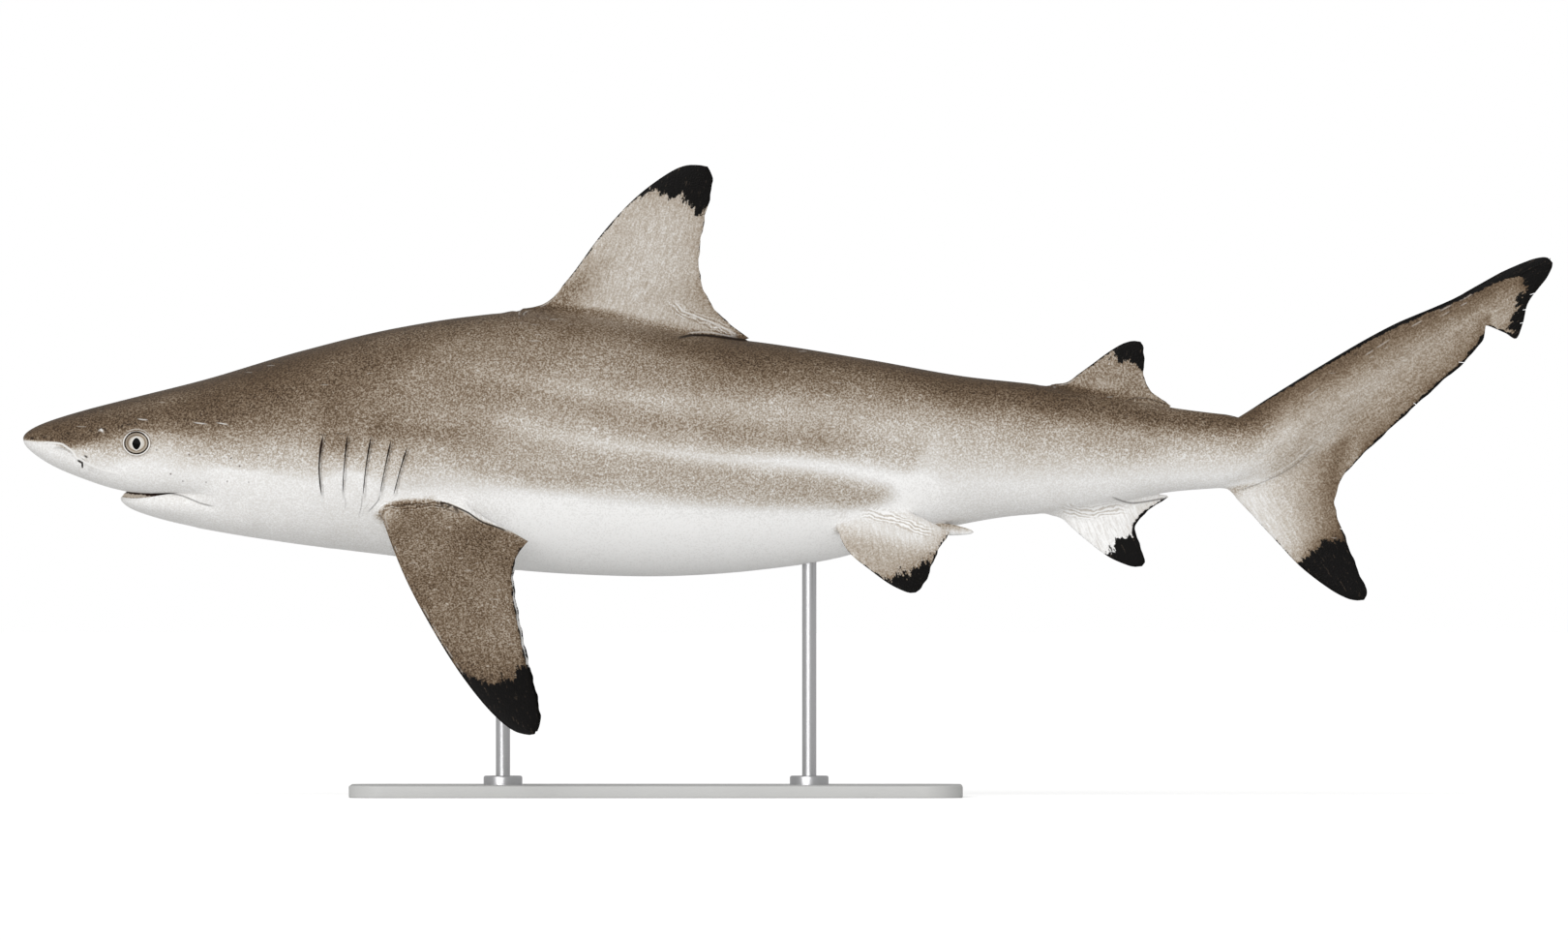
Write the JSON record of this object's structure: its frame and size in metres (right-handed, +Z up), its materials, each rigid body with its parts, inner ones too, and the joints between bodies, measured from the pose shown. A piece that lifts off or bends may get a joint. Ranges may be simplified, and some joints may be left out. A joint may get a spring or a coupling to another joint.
{
  "type": "blacktip shark",
  "caption": "Life-size still model of a blacktip shark with a pointed snout, grey-brown back, white belly and black-tipped fins, held over a flat base by short rods.",
  "frame": {"origin": "on the floor, under the middle of the model's overall length and width", "axes": "+X from the snout to the tail, +Y to the shark's right side, +Z up"},
  "size_m": [1.5, 0.4404, 0.621],
  "materials": {
    "hide": "smooth wet-looking shark skin, grey-brown above and white below, fine leathery grain, black fin tips",
    "eye": "clear glossy eye over a tan iris with an upright black pupil",
    "teeth": "small ivory teeth",
    "stand_paint": "satin light grey powder coat with a fine texture",
    "stand_steel": "brushed stainless rod"
  },
  "bodies": {
    "root": {"head": "hide", "lower_jaw": "hide", "gill_region": "hide", "trunk": "hide", "tail_stalk": "hide", "first_dorsal_fin": "hide", "second_dorsal_fin": "hide", "anal_fin": "hide", "pectoral_fin_left": "hide", "pectoral_fin_right": "hide", "pelvic_fin_left": "hide", "pelvic_fin_right": "hide", "clasper_left": "hide", "clasper_right": "hide", "caudal_upper_lobe": "hide", "caudal_lower_lobe": "hide", "eye_left": "eye", "eye_right": "eye", "stand_base": "stand_paint", "stand_rod_front": "stand_steel", "stand_rod_rear": "stand_steel", "stand_collar_front": "stand_steel", "stand_collar_rear": "stand_steel"}
  },
  "joints": []
}
